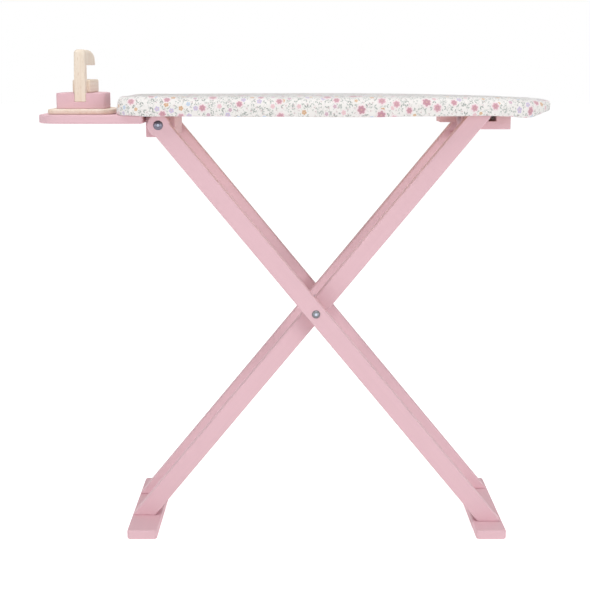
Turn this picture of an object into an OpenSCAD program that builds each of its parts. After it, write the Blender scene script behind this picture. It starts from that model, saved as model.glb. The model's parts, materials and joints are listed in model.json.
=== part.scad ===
// Wooden toy ironing board on folding legs, with a wooden toy iron on its rest.
// Millimetres. +X runs along the board to its nose, +Y to the back, +Z up.
// The origin lies on the floor, under the middle of the whole length.

/* [Board] */
// Length of the covered board
board_len = 571; // [500:1:650]
// Width of the covered board
board_w = 200; // [180:1:230]
// Height of the panel's underside above the floor
board_h = 560; // [500:1:620]
// Thickness of the plywood panel
panel_t = 8; // [7:0.5:12]
// Thickness of the foam pad
pad_t = 11.6; // [8:0.2:18]
// Thickness of the cloth cover
cover_t = 1.2; // [0.8:0.1:1.6]
// Corner radius at the square end of the board
end_corner_r = 24; // [20:1:40]
// Radius of the rounded nose
nose_r = 66; // [50:1:80]
// Length of the tapered stretch, up to the tip of the nose
taper_len = 220; // [180:1:260]
// How far the padding reaches in while it rounds over at its edge
edge_round = 14; // [8:1:16]
// How far the padding sinks towards the tip of the nose
nose_fall = 5; // [0:0.5:6]
// How far the padding rises from its edge to its middle
crown_rise = 1; // [0:0.1:3]
// How far the hem turns in under the panel
hem_in = 16; // [12:1:18]
// How far the hem hangs below the panel along the sides
hem_drop = 3.5; // [2:0.1:5]
// How far the hem is lifted where it lies on the rest
hem_end_rise = 1.2; // [0.6:0.1:1.8]
// Width of the hanging roll of the hem
hem_roll = 9; // [6:0.5:9]

/* [Iron rest] */
// How far the rest stands out past the board
rest_out = 103.8; // [95:0.1:130]
// How far the rest reaches under the board
rest_under = 32; // [28:1:34]
// How far the long edges of the rest lie inside the board's sides
rest_side_in = 10; // [9.5:0.5:25]
// Thickness of the rest
rest_t = 11; // [9:0.5:16]
// Corner radius at the outer end of the rest
rest_corner_r = 40; // [20:1:60]
// Corner radius at the inner end of the rest
rest_inner_r = 3; // [1:0.5:8]
// Distance between the outer screws of the rest
rest_screw_span = 140; // [100:1:150]

/* [Legs] */
// Slope of the legs from the floor
leg_angle = 50.5; // [48:0.1:53]
// Length of a leg from its hinge to the crossing
arm_len = 320; // [300:1:330]
// Height of the hinge below the panel
hinge_drop = 15.5; // [15:0.1:18]
// Radius of the outer legs' round heads
leg_head_r = 14.5; // [13:0.1:14.8]
// Width of a leg
leg_w = 24; // [20:0.5:26]
// Thickness of a leg
leg_t = 18; // [14:0.5:20]
// Distance between the outer faces of the two outer legs
stance_w = 159; // [150:1:170]
// Thickness of the spacers between the legs
spacer_t = 7; // [4:0.5:9]
// Outer radius of the spacers
spacer_r = 9; // [7:0.5:11]
// Radius of the rung between the inner legs
rung_r = 4.5; // [4:0.5:6]
// Distance of the rung from the inner legs' upper end centre
rung_down = 22; // [21:1:40]
// Depth of the rung's sockets in the legs
rung_socket = 10; // [6:1:12]

/* [Feet] */
// Length of a foot
foot_len = 230; // [200:1:260]
// Width of a foot
foot_w = 40; // [36:1:50]
// Thickness of a foot
foot_t = 12.6; // [10:0.2:18]
// Corner radius of a foot
foot_corner_r = 5; // [2:0.5:12]
// How far the outer foot sits in from the middle of its legs
outer_foot_shift = 2; // [0:0.5:4]
// How far the inner foot sits in from the middle of its legs
inner_foot_shift = 4; // [0:0.5:4]

/* [Hinge block] */
// Length of the hinge block along the board
block_len = 38; // [32:1:40]
// Height of the hinge block
block_h = 32; // [28:1:36]
// Gap between the hinge block and the rest
block_gap = 3; // [1:0.5:8]
// How far the block's end lies outside the hinge line
block_out = 18.5; // [16:0.5:20]
// Distance between the two screws of the block
block_screw_span = 24; // [20:1:30]

/* [Catch] */
// Gap between the catch pieces and the inner legs
catch_side = 14.5; // [10:0.5:16]
// How far the stop batten's middle lies before the inner legs' upper end centre
batten_off = 31; // [26:0.5:40]
// Length of the stop batten along the board
batten_len = 17; // [12:1:20]
// Height of the stop batten
batten_h = 14; // [10:0.5:14]
// How far the hook begins before the inner legs' upper end centre
hook_off = 11; // [8:0.5:14]
// Length of the hook along the board
hook_len = 64.5; // [54:0.5:70]
// Height of the hook
hook_h = 23; // [20:0.5:23]
// Length of each of the two slots in the hook
slot_len = 10; // [9.5:0.1:14]
// Distance between the two slots in the hook
slot_step = 29.2; // [26:0.2:32]
// Height of the slots in the hook
slot_h = 12.2; // [11:0.1:13]
// Distance between the two screws of each catch piece
catch_screw_span = 26; // [20:1:30]

/* [Fasteners] */
// Radius of the bolts
bolt_r = 3; // [2.5:0.1:3.5]
// Radius of the bolt heads
bolt_head_r = 5.7; // [5:0.1:7]
// Height of the bolt heads
bolt_head_h = 3.3; // [2.5:0.1:4]
// Width across flats of the bolts' hexagon sockets
socket_w = 4; // [3:0.1:4.5]
// Depth of the bolts' hexagon sockets
socket_d = 1.8; // [1:0.1:2]
// Gap between a crossing bolt's end and the flange of its nut
bolt_end_gap = 2; // [0.5:0.5:4]
// Length of the hinge bolts inside the block
hinge_grip = 26; // [20:1:30]
// Outer radius of the threaded inserts
insert_r = 5; // [4.5:0.1:6]
// Length of the threaded inserts
insert_len = 14; // [10:1:18]
// Outer radius of the sleeve nuts' barrels
nut_r = 4.3; // [4.1:0.1:5]
// Length of the sleeve nuts' barrels
nut_len = 12; // [8:1:12]
// Radius of the sleeve nuts' flanges
nut_flange_r = 6; // [5.5:0.1:8]
// Thickness of the sleeve nuts' flanges
nut_flange_t = 1.8; // [1:0.1:3]
// Radius of the wood screws
screw_r = 2; // [1.5:0.1:2.2]
// Radius of the wood screws' heads
screw_head_r = 4; // [3.5:0.1:4.5]
// How deep the wood screws go into the panel
screw_bite = 5.5; // [4:0.5:6]
// How deep the wood screws go into the leg ends
leg_bite = 20; // [14:1:22]
// Radius of the screwdriver slots
drive_r = 2.2; // [1.5:0.1:2.6]
// Width of the screwdriver slots
drive_w = 0.9; // [0.5:0.1:1.2]
// Depth of the screwdriver slots
drive_d = 0.8; // [0.4:0.1:1.2]
// How deep the hinge block's screws are sunk
block_screw_sink = 12; // [6:0.5:14]
// How deep the hook's screws are sunk
hook_screw_sink = 5; // [2:0.5:7]

/* [Iron] */
// Length of the sole
sole_len = 130; // [110:1:140]
// Width of the sole
sole_w = 84.5; // [76:0.5:90]
// Thickness of the sole
sole_t = 6.9; // [5:0.1:10]
// Corner radius at the sole's back
sole_corner_r = 10; // [3:0.5:12]
// How far the sole's back bows out
sole_bow = 2; // [1:0.5:6]
// Radius of the sole's tip
sole_tip_r = 5; // [3:0.5:10]
// Length of the sole's straight sides
sole_straight = 60; // [46:1:66]
// How far the sole stands out round the body
sole_lip = 11.2; // [8:0.1:14]
// Height of the body
iron_body_h = 20.3; // [16:0.1:26]
// Radius of the body's tip and back corners
body_corner_r = 4; // [2:0.5:6]
// How far the body's back bows out
body_bow = 9; // [3:0.5:12]
// Thickness of the handle
handle_t = 14.7; // [12:0.1:18]
// Depth of the handle's post from back to front
post_d = 15; // [12:0.5:18]
// How deep the post is let into the body
post_in = 11.3; // [6:0.1:14]
// Height of the handle's top above the body
handle_h = 55.9; // [50:0.1:70]
// Length of the handle's bar from the back of the post
bar_len = 90.5; // [70:0.5:100]
// Height of the handle's bar
bar_h = 20.1; // [18:0.1:22]
// Radius of the bar's front upper corner
bar_corner_r = 17.5; // [6:0.5:18]
// Radius of the post's back upper corner
post_corner_r = 6; // [2:0.5:8]
// Radius of the handle's long upper edges
handle_edge_r = 5.5; // [2:0.5:6]
// Width of the block under the handle
base_w = 23.8; // [18:0.1:26]
// Height of the block under the handle
base_h = 17; // [12:0.1:18]
// How far the block under the handle ends short of the body's tip
base_tip_gap = 20; // [14:0.5:30]
// Radius of the iron's dowels
dowel_r = 3; // [2:0.5:4]
// How deep each end of a dowel goes in
dowel_bite = 9; // [6:0.5:10]
// Distance between the two upright dowels
dowel_span = 40; // [30:1:42]
// Distance between the two screws of the sole
sole_screw_span = 34; // [24:1:44]
// How deep the sole's screws go into the body
sole_screw_bite = 8; // [5:0.5:9]
// Gap between the sole and the board's end
iron_gap = 7.5; // [2:0.5:10]

/* [Fits] */
// Radial clearance of bolts, screws and dowels in their holes
fit = 0.05; // [0.02:0.01:0.1]
// Gap between faces that lie or slide on each other
face_gap = 0.1; // [0.05:0.01:0.3]

/* [Hidden] */
$fn = 96;

pink = [0.87, 0.70, 0.74];
beech = [0.90, 0.83, 0.73];
cotton = [0.93, 0.91, 0.90];
foam = [0.95, 0.94, 0.88];
ply = [0.85, 0.75, 0.60];
steel = [0.45, 0.45, 0.50];
brass = [0.78, 0.62, 0.32];

// Ends of the board and of the rest, with the whole length centred on the origin
tip_x = (board_len + rest_out) / 2;
end_x = tip_x - board_len;
rest_x = end_x - rest_out;
taper_x = tip_x - taper_len;

// Heights of the layers of the board
panel_top = board_h + panel_t;
rest_top = board_h - hem_drop + hem_end_rise - face_gap;
rest_bottom = rest_top - rest_t;
rest_w = board_w - 2 * rest_side_in;
rest_inner_x = end_x + rest_under;

// Points of the fold: the hinge, the crossing and the inner legs' upper end centre
block_x = rest_inner_x + block_gap;
hinge = [block_x + block_out, board_h - hinge_drop];
reach = arm_len * [cos(leg_angle), -sin(leg_angle)];
crossing = hinge + reach;
inner_top = [crossing.x + reach.x, hinge.y];
rung = inner_top - rung_down * [cos(leg_angle), sin(leg_angle)];

// Middle of each leg end on its foot
leg_run = (hinge.y - foot_t) / tan(leg_angle);
outer_end_x = hinge.x + leg_run;
inner_end_x = inner_top.x - leg_run;
outer_foot_x = outer_end_x - outer_foot_shift;
inner_foot_x = inner_end_x + inner_foot_shift;

// Depths of the faces across the board, front half, measured from the middle
outer_face = stance_w / 2;
outer_back = outer_face - leg_t;
inner_face = outer_back - spacer_t;
inner_back = inner_face - leg_t;
catch_w = 2 * (inner_back - catch_side);

// The iron stands lengthwise across the rest, its back to the front
iron_x = end_x - iron_gap - sole_w / 2;
iron_back = -sole_len / 2;
sole_z = rest_top + face_gap;
body_z = sole_z + sole_t;
body_top = body_z + iron_body_h;
body_back = iron_back + sole_lip;
body_len = sole_len - 2 * sole_lip;
post_front = body_back + post_d;
handle_top = body_top + handle_h;
base_len = body_len - post_d - base_tip_gap;
dowel_mid = post_front + (base_len - dowel_r) / 2;

// Outlines: a list of [x, y, radius] circles, each joined to the next by a straight tangent

// Direction of the outer normal of the tangent from circle a to circle b, counter-clockwise
function tangent(a, b) =
  let (d = [b[0] - a[0], b[1] - a[1]])
  atan2(d.y, d.x) - acos(max(-1, min(1, (a[2] - b[2]) / norm(d))));

// The angle t, taken up to lie at or above the angle low
function above(t, low) = t < low - 0.001 ? above(t + 360, low) : t;

// Places on the outline as [centre x, centre y, radius, normal angle]
function outline(circles, steps) =
  let (n = len(circles))
  [for (i = [0 : n - 1])
    let (c = circles[i])
    let (t0 = tangent(circles[(i + n - 1) % n], c))
    let (t1 = above(tangent(c, circles[(i + 1) % n]), t0))
    for (k = [0 : steps[i]]) [c[0], c[1], c[2], t0 + (t1 - t0) * k / steps[i]]];

// Point of an outline place, moved in by an inset
function place_point(p, inset) = [p[0] + (p[2] - inset) * cos(p[3]), p[1] + (p[2] - inset) * sin(p[3])];

// Plain outline points at one inset
function outline_points(places, inset) = [for (p = places) place_point(p, inset)];

// Outline of the board, seen from above: square end, straight sides, tapered nose
corner_y = board_w / 2 - end_corner_r;
board_circles = [
  [end_x + end_corner_r, -corner_y, end_corner_r],
  [taper_x, 0, board_w / 2],
  [tip_x - nose_r, 0, nose_r],
  [taper_x, 0, board_w / 2],
  [end_x + end_corner_r, corner_y, end_corner_r]
];
corner_places = outline(board_circles, [6, 4, 12, 4, 6]);

// The same outline with places added along its straight sides
side_steps = 8;
board_places = [for (i = [0 : len(corner_places) - 1])
  let (p = corner_places[i])
  let (q = corner_places[(i + 1) % len(corner_places)])
  let (straight = p.x != q.x)
  for (k = [0 : straight ? side_steps - 1 : 0])
    let (u = k / side_steps)
    [p[0] + (q[0] - p[0]) * u, p[1] + (q[1] - p[1]) * u, p[2] + (q[2] - p[2]) * u, p[3]]];

// Share from 0 at the start of the taper to 1 at the tip of the nose
function tip_share(x) = pow(max(0, min(1, (x - taper_x) / taper_len)), 2);

// How far the hem is lifted: over the rest at the square end, and under the nose
end_ramp = 12;
nose_ramp = 30;
hem_rise = hem_drop - cover_t - face_gap;
function hem_lift(x) =
  let (at_end = 1 - min(1, max(0, (x - end_x - end_corner_r) / end_ramp)))
  let (at_nose = min(1, max(0, (x - tip_x + 2 * nose_ramp) / nose_ramp)))
  max(hem_end_rise * at_end, hem_rise * at_nose);

// A padded skin is a list of stations:
// [inset, added inset at the tip, z, added z at the tip, share of the hem's lift, shrink]
function station_ring(s) =
  [for (p = board_places)
    let (x = place_point(p, 0).x)
    let (q = place_point(p, s[0] + s[1] * tip_share(x)))
    [q.x * s[5], q.y * s[5], s[2] + s[3] * tip_share(x) + s[4] * hem_lift(x)]];

module skin(stations) {
  n = len(board_places);
  m = len(stations);
  rings = [for (s = stations) each station_ring(s)];
  ends = [[0, 0, stations[0][2]], [0, 0, stations[m - 1][2]]];
  walls = [for (j = [0 : m - 2]) for (i = [0 : n - 1])
    let (a = j * n + i)
    let (b = j * n + (i + 1) % n)
    each [[a, a + n, b], [b, a + n, b + n]]];
  caps = [for (i = [0 : n - 1])
    let (k = (i + 1) % n)
    each [[m * n, i, k], [m * n + 1, (m - 1) * n + k, (m - 1) * n + i]]];
  polyhedron(concat(rings, ends), concat(walls, caps), convexity = 6);
}

// Stations of a rounded upper edge over the panel, from the side up to the flat top
round_angles = [0, 30, 60, 90];
function round_over(inset, rise) =
  [for (t = round_angles)
    [inset + edge_round * (1 - cos(t)), 0, panel_top + rise * sin(t), -nose_fall * sin(t), 0, 1]];

// Stations of the gentle crown inside that edge: [share of the rise, share of the nose's fall, shrink]
crown_rings = [[0.75, 1, 0.6], [1, 0.5, 0.2]];
function crown(inset, rise) =
  [for (c = crown_rings)
    [inset + edge_round, 0, panel_top + rise + crown_rise * c[0], -nose_fall * c[1], 0, c[2]]];

// Solid between two depths of a profile drawn in x and z
module across(y0, y1) {
  translate([0, y1, 0]) rotate([90, 0, 0]) linear_extrude(y1 - y0) children();
}

module both_sides() {
  children();
  mirror([0, 1, 0]) children();
}

// Turns a shape drawn along +Z so that it runs from the front face towards the middle
module from_front(p, depth) {
  translate([p.x, -depth, p.y]) rotate([-90, 0, 0]) children();
}

module rounded_plate(size, r, t) {
  linear_extrude(t) {
    square([size.x - 2 * r, size.y], center = true);
    square([size.x, size.y - 2 * r], center = true);
    for (sx = [-1, 1], sy = [-1, 1])
      translate([sx * (size.x / 2 - r), sy * (size.y / 2 - r)]) circle(r);
  }
}

// Countersunk wood screw standing on its head, head face at z = 0
screw_head_h = screw_head_r - screw_r;
screw_tip_r = 0.2;
module wood_screw(length) {
  point_h = 2 * screw_r;
  difference() {
    union() {
      cylinder(h = screw_head_h, r1 = screw_head_r, r2 = screw_r);
      cylinder(h = length - point_h, r = screw_r);
      translate([0, 0, length - point_h]) cylinder(h = point_h, r1 = screw_r, r2 = screw_tip_r);
    }
    for (a = [0, 90])
      rotate(a) translate([-drive_r, -drive_w / 2, -1]) cube([2 * drive_r, drive_w, drive_d + 1]);
  }
}

// Hole for such a screw, open below its head
module screw_hole(length) {
  cylinder(h = screw_head_h, r1 = screw_head_r + fit, r2 = screw_r + fit);
  cylinder(h = length + fit, r = screw_r + fit);
  translate([0, 0, -block_h]) cylinder(h = block_h, r = screw_head_r + fit);
}

// Domed bolt with a hexagon socket, underside of the head at z = 0, shank along +Z
module bolt(length) {
  dome_r = (bolt_head_r * bolt_head_r + bolt_head_h * bolt_head_h) / (2 * bolt_head_h);
  difference() {
    union() {
      intersection() {
        translate([0, 0, -bolt_head_h]) cylinder(h = bolt_head_h, r = bolt_head_r);
        translate([0, 0, dome_r - bolt_head_h]) sphere(dome_r);
      }
      cylinder(h = length, r = bolt_r);
    }
    translate([0, 0, -bolt_head_h - 1])
      cylinder(h = socket_d + 1, r = socket_w / sqrt(3), $fn = 6);
  }
}

module ring(outer, inner, h) {
  difference() {
    cylinder(h = h, r = outer);
    translate([0, 0, -1]) cylinder(h = h + 2, r = inner);
  }
}

// Places of the wood screws, seen from above
rest_screw_x = end_x + (hem_in + rest_under) / 2;
rest_screw_ys = [for (k = [-3, -1, 1, 3]) k * rest_screw_span / 6];
block_mid_x = block_x + block_len / 2;
batten_x = inner_top.x - batten_off;
hook_x = inner_top.x - hook_off;
slot_xs = [inner_top.x, inner_top.x + slot_step];
hook_screw_x = inner_top.x + slot_step / 2;

module at_rest_screws() {
  for (y = rest_screw_ys) translate([rest_screw_x, y, rest_bottom + face_gap]) children();
}

module at_block_screws() {
  for (s = [-1, 1])
    translate([block_mid_x, s * block_screw_span / 2, board_h - block_h + block_screw_sink]) children();
}

module at_batten_screws() {
  for (s = [-1, 1])
    translate([batten_x, s * catch_screw_span / 2, board_h - batten_h + face_gap]) children();
}

module at_hook_screws() {
  for (s = [-1, 1])
    translate([hook_screw_x, s * catch_screw_span / 2, board_h - hook_h + hook_screw_sink]) children();
}

rest_screw_len = board_h - rest_bottom - face_gap + screw_bite;
block_screw_len = block_h - block_screw_sink + screw_bite;
batten_screw_len = batten_h - face_gap + screw_bite;
hook_screw_len = hook_h - hook_screw_sink + screw_bite;

// Under the nose the hem and the panel's edge lie further in than the padding
nose_tuck = 6;
panel_edge = [for (p = board_places)
  place_point(p, cover_t + face_gap + nose_tuck * tip_share(place_point(p, 0).x))];

module board_panel() {
  color(ply) difference() {
    translate([0, 0, board_h]) linear_extrude(panel_t) polygon(panel_edge);
    at_rest_screws() screw_hole(rest_screw_len);
    at_block_screws() screw_hole(block_screw_len);
    at_batten_screws() screw_hole(batten_screw_len);
    at_hook_screws() screw_hole(hook_screw_len);
  }
}

module board_pad() {
  side = cover_t + face_gap;
  base = [[side, 0, panel_top + face_gap, 0, 0, 1]];
  edge = [for (s = round_over(side, pad_t)) if (s[2] > panel_top) s];
  color(foam) skin(concat(base, edge, crown(side, pad_t)));
}

// The cover runs down inside, turns in under the panel, hangs as a rolled hem and goes up outside
hem_round = 3;
module board_cover() {
  under = board_h - face_gap;
  low = board_h - hem_drop;
  inner_rise = pad_t + 3 * face_gap;
  outer_rise = inner_rise + cover_t;
  inside_up = concat(round_over(cover_t, inner_rise), crown(cover_t, inner_rise));
  inside_down = [for (i = [len(inside_up) - 1 : -1 : 0]) inside_up[i]];
  hem = [
    [cover_t, nose_tuck, under, 0, 0, 1],
    [hem_in, 0, under, 0, 0, 1],
    [hem_in, 0, under - cover_t, 0, 0, 1],
    [hem_roll, nose_tuck, under - cover_t, 0, 0, 1],
    [hem_roll - hem_round, nose_tuck, low, 0, 1, 1],
    [hem_round, nose_tuck, low, 0, 1, 1],
    [0, nose_tuck / 2, low + hem_round, hem_rise, 0, 1]
  ];
  color(cotton) skin(concat(inside_down, hem, round_over(0, outer_rise), crown(0, outer_rise)));
}

// Plan of the rest: large round corners at its outer end, small ones under the board
module rest_plan() {
  outer_y = rest_w / 2 - rest_corner_r;
  inner_y = rest_w / 2 - rest_inner_r;
  circles = [
    [rest_x + rest_corner_r, -outer_y, rest_corner_r],
    [rest_inner_x - rest_inner_r, -inner_y, rest_inner_r],
    [rest_inner_x - rest_inner_r, inner_y, rest_inner_r],
    [rest_x + rest_corner_r, outer_y, rest_corner_r]
  ];
  polygon(outline_points(outline(circles, [16, 6, 6, 16]), 0));
}

module iron_rest() {
  color(pink) difference() {
    translate([0, 0, rest_bottom]) linear_extrude(rest_t) rest_plan();
    at_rest_screws() screw_hole(rest_screw_len);
  }
}

module rest_screws() {
  color(steel) at_rest_screws() wood_screw(rest_screw_len);
}

module hinge_block() {
  color(pink) difference() {
    translate([block_x, -inner_face, board_h - block_h]) cube([block_len, 2 * inner_face, block_h]);
    at_block_screws() screw_hole(block_screw_len);
    both_sides() from_front(hinge, inner_face) {
      translate([0, 0, -1]) cylinder(h = insert_len + 1, r = insert_r + fit);
      cylinder(h = hinge_grip + 1, r = bolt_r + fit);
    }
  }
}

module hinge_block_screws() {
  color(steel) at_block_screws() wood_screw(block_screw_len);
}

module hinge_inserts() {
  color(brass) both_sides() from_front(hinge, inner_face) ring(insert_r, bolt_r + fit, insert_len);
}

module hinge_bolts() {
  color(steel) both_sides() from_front(hinge, outer_face + face_gap)
    bolt(face_gap + leg_t + spacer_t + hinge_grip);
}

module hinge_spacers() {
  color(beech) both_sides() from_front(hinge, outer_back - face_gap)
    ring(spacer_r, bolt_r + fit, spacer_t - face_gap);
}

module catch_batten() {
  color(pink) difference() {
    translate([batten_x - batten_len / 2, -catch_w / 2, board_h - batten_h])
      cube([batten_len, catch_w, batten_h]);
    at_batten_screws() screw_hole(batten_screw_len);
  }
}

// One slot of the hook for each working height
module catch_hook() {
  color(pink) difference() {
    translate([hook_x, -catch_w / 2, board_h - hook_h]) cube([hook_len, catch_w, hook_h]);
    for (x = slot_xs) translate([x - slot_len / 2, -catch_w / 2 - 1, board_h - slot_h])
      cube([slot_len, catch_w + 2, slot_h + 1]);
    at_hook_screws() screw_hole(hook_screw_len);
  }
}

module catch_screws() {
  color(steel) {
    at_batten_screws() wood_screw(batten_screw_len);
    at_hook_screws() wood_screw(hook_screw_len);
  }
}

// Leg outline in x and z: a round head, or an end cut level with the head's top where the leg runs on,
// and a lower end cut level with the foot's top
module leg_profile(top, lean, head_r, run_on) {
  length = (top.y - foot_t) / sin(leg_angle) + leg_w;
  difference() {
    translate(top) rotate(lean) {
      circle(head_r);
      translate([-run_on, -leg_w / 2]) square([length + run_on, leg_w]);
    }
    translate([-board_len, -board_h]) square([2 * board_len, board_h + foot_t]);
    translate([-board_len, top.y + head_r]) square([2 * board_len, board_h]);
  }
}

// The foot screws stand upright, where the sloping leg has most wood on both sides
foot_screw_off = leg_bite / 2 / tan(leg_angle);
foot_screw_len = foot_t - face_gap + leg_bite;

module at_outer_foot_screws() {
  for (s = [-1, 1])
    translate([outer_end_x - foot_screw_off, s * (outer_face - leg_t / 2), face_gap]) children();
}

module at_inner_foot_screws() {
  for (s = [-1, 1])
    translate([inner_end_x + foot_screw_off, s * (inner_face - leg_t / 2), face_gap]) children();
}

module outer_leg() {
  difference() {
    across(-outer_face, -outer_back) leg_profile(hinge, -leg_angle, leg_head_r, 0);
    from_front(hinge, outer_face + 1) cylinder(h = leg_t + 2, r = bolt_r + fit);
    from_front(crossing, outer_face + 1) cylinder(h = leg_t + 2, r = bolt_r + fit);
    at_outer_foot_screws() screw_hole(foot_screw_len);
  }
}

module outer_leg_front() {
  color(pink) outer_leg();
}

module outer_leg_back() {
  color(pink) mirror([0, 1, 0]) outer_leg();
}

module inner_leg() {
  difference() {
    across(-inner_face, -inner_back) leg_profile(inner_top, 180 + leg_angle, leg_w / 2, 2 * leg_w);
    from_front(crossing, inner_face + 1) cylinder(h = leg_t + 2, r = bolt_r + fit);
    from_front(crossing, inner_back + nut_len) cylinder(h = nut_len + 1, r = nut_r + fit);
    from_front(rung, inner_back + rung_socket) cylinder(h = rung_socket + 1, r = rung_r + fit);
    at_inner_foot_screws() screw_hole(foot_screw_len);
  }
}

module inner_leg_front() {
  color(pink) inner_leg();
}

module inner_leg_back() {
  color(pink) mirror([0, 1, 0]) inner_leg();
}

module outer_foot() {
  color(pink) difference() {
    translate([outer_foot_x, 0, 0]) rounded_plate([foot_w, foot_len], foot_corner_r, foot_t);
    at_outer_foot_screws() screw_hole(foot_screw_len);
  }
}

module inner_foot() {
  color(pink) difference() {
    translate([inner_foot_x, 0, 0]) rounded_plate([foot_w, foot_len], foot_corner_r, foot_t);
    at_inner_foot_screws() screw_hole(foot_screw_len);
  }
}

module outer_foot_screws() {
  color(steel) at_outer_foot_screws() wood_screw(foot_screw_len);
}

module inner_foot_screws() {
  color(steel) at_inner_foot_screws() wood_screw(foot_screw_len);
}

module inner_rung() {
  half = inner_back + rung_socket - face_gap;
  color(pink) from_front(rung, half) cylinder(h = 2 * half, r = rung_r);
}

module crossing_bolts() {
  color(steel) both_sides() from_front(crossing, outer_face + face_gap)
    bolt(face_gap + leg_t + spacer_t + leg_t - bolt_end_gap);
}

module crossing_spacers() {
  color(beech) both_sides() from_front(crossing, outer_back - face_gap)
    ring(spacer_r, bolt_r + fit, spacer_t - face_gap);
}

module crossing_nuts() {
  color(steel) both_sides() {
    from_front(crossing, inner_back + nut_len) ring(nut_r, bolt_r + fit, nut_len);
    from_front(crossing, inner_back) cylinder(h = nut_flange_t, r = nut_flange_r);
  }
}

// Plan of the iron: bowed back with round corners, straight sides, then arcs to the tip
module iron_plan(back, length, width, straight, bow, corner_r, tip_r) {
  half = width / 2;
  tip_y = back + length - tip_r;
  run = tip_y - back - straight;
  side_r = (half * half + run * run - tip_r * tip_r) / (2 * (half - tip_r));
  bow_r = (half * half + bow * bow) / (2 * bow);
  corner_x = half - corner_r;
  corner_y = back + bow_r - sqrt(pow(bow_r - corner_r, 2) - corner_x * corner_x);
  circles = [
    [0, back + bow_r, bow_r],
    [corner_x, corner_y, corner_r],
    [half - side_r, back + straight, side_r],
    [0, tip_y, tip_r],
    [side_r - half, back + straight, side_r],
    [-corner_x, corner_y, corner_r]
  ];
  polygon(outline_points(outline(circles, [12, 6, 16, 8, 16, 6]), 0));
}

module at_sole_screws() {
  for (s = [-1, 1])
    translate([iron_x, dowel_mid + s * sole_screw_span / 2, sole_z + face_gap]) children();
}

sole_screw_len = sole_t - face_gap + sole_screw_bite;

module iron_sole() {
  color(beech) difference() {
    translate([iron_x, 0, sole_z]) linear_extrude(sole_t)
      iron_plan(iron_back, sole_len, sole_w, sole_straight, sole_bow, sole_corner_r, sole_tip_r);
    at_sole_screws() screw_hole(sole_screw_len);
  }
}

module iron_sole_screws() {
  color(steel) at_sole_screws() wood_screw(sole_screw_len);
}

// Dowels: two upright between body and block, one level between post and block
module iron_dowel_set(extra) {
  for (s = [-1, 1])
    translate([iron_x, dowel_mid + s * dowel_span / 2, body_top - dowel_bite - extra])
      cylinder(h = 2 * (dowel_bite + extra), r = dowel_r + extra);
  translate([iron_x, post_front - dowel_bite - extra, body_top + base_h / 2])
    rotate([-90, 0, 0]) cylinder(h = 2 * (dowel_bite + extra), r = dowel_r + extra);
}

module iron_dowels() {
  color(beech) iron_dowel_set(0);
}

module iron_body() {
  color(pink) difference() {
    translate([iron_x, 0, body_z]) linear_extrude(iron_body_h)
      iron_plan(body_back, body_len, sole_w - 2 * sole_lip, sole_straight - sole_lip, body_bow,
        body_corner_r, body_corner_r);
    translate([iron_x - handle_t / 2 - fit, body_back - 1, body_top - post_in - fit])
      cube([handle_t + 2 * fit, post_d + 1 + fit, post_in + 1]);
    iron_dowel_set(fit);
    at_sole_screws() screw_hole(sole_screw_len);
  }
}

// Handle: a post at the back and a bar over the finger gap, cut from one board, seen from the side
module handle_side() {
  low = body_top - post_in;
  end_y = body_back + bar_len;
  bar_z = handle_top - bar_h;
  translate([body_back, low]) square([post_d, handle_top - post_corner_r - low]);
  translate([body_back + post_corner_r, bar_z]) square([bar_len - post_corner_r - bar_corner_r, bar_h]);
  translate([body_back + post_corner_r, handle_top - post_corner_r]) circle(post_corner_r);
  intersection() {
    translate([end_y - bar_corner_r, handle_top - bar_corner_r]) circle(bar_corner_r);
    translate([end_y - bar_corner_r - 1, bar_z]) square([bar_corner_r + 1, bar_h]);
  }
  translate([end_y - bar_corner_r - 1, bar_z]) square([bar_corner_r + 1, bar_h - bar_corner_r]);
}

// The same handle seen from the back, with its long upper edges rounded
module handle_front() {
  half = handle_t / 2;
  translate([-half, 0]) square([handle_t, handle_top - handle_edge_r]);
  translate([handle_edge_r - half, 0]) square([handle_t - 2 * handle_edge_r, handle_top]);
  for (s = [-1, 1])
    translate([s * (half - handle_edge_r), handle_top - handle_edge_r]) circle(handle_edge_r);
}

module iron_handle() {
  color(beech) difference() {
    translate([iron_x, 0, 0]) intersection() {
      translate([-handle_t / 2, 0, 0]) rotate([90, 0, 90]) linear_extrude(handle_t) handle_side();
      across(body_back - 1, body_back + bar_len + 1) handle_front();
    }
    iron_dowel_set(fit);
  }
}

module iron_handle_base() {
  color(beech) difference() {
    translate([iron_x - base_w / 2, post_front + fit, body_top])
      cube([base_w, base_len, base_h]);
    iron_dowel_set(fit);
  }
}

board_panel();
board_pad();
board_cover();
iron_rest();
rest_screws();
hinge_block();
hinge_block_screws();
hinge_inserts();
hinge_bolts();
hinge_spacers();
catch_batten();
catch_hook();
catch_screws();
outer_leg_front();
outer_leg_back();
outer_foot();
outer_foot_screws();
inner_leg_front();
inner_leg_back();
inner_foot();
inner_foot_screws();
inner_rung();
crossing_bolts();
crossing_spacers();
crossing_nuts();
iron_sole();
iron_body();
iron_handle();
iron_handle_base();
iron_dowels();
iron_sole_screws();
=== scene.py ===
import json
import math

import bmesh
import bpy
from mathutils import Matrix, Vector, noise


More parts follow.
